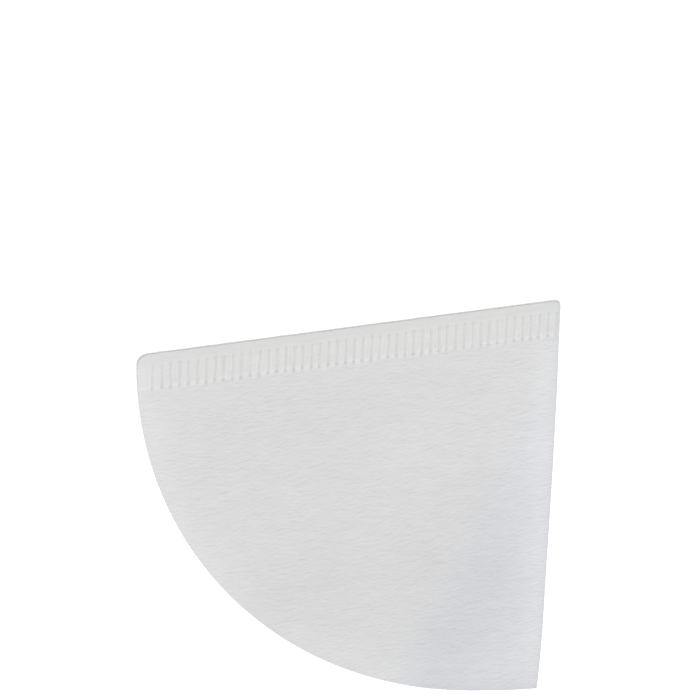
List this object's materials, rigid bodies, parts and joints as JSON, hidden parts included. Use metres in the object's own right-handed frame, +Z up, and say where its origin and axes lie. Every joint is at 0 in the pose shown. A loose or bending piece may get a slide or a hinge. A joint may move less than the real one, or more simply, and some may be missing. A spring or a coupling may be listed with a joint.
{
  "type": "paper coffee filter",
  "caption": "Cone coffee filter of creped white paper, folded flat as a quarter disc: one fold, one crimped seam, open along the arc.",
  "frame": {"origin": "centre of the bounding box, on the surface that the filter lies on", "axes": "+Z up, square to the flat filter; +Y towards the crimped seam, which runs along X; +X towards the folded edge, which runs along Y; the tip is at +X +Y"},
  "size_m": [0.125, 0.1261, 0.0017],
  "materials": {
    "paper": "matte"
  },
  "bodies": {
    "root": {"paper_filter": "paper"}
  },
  "joints": []
}
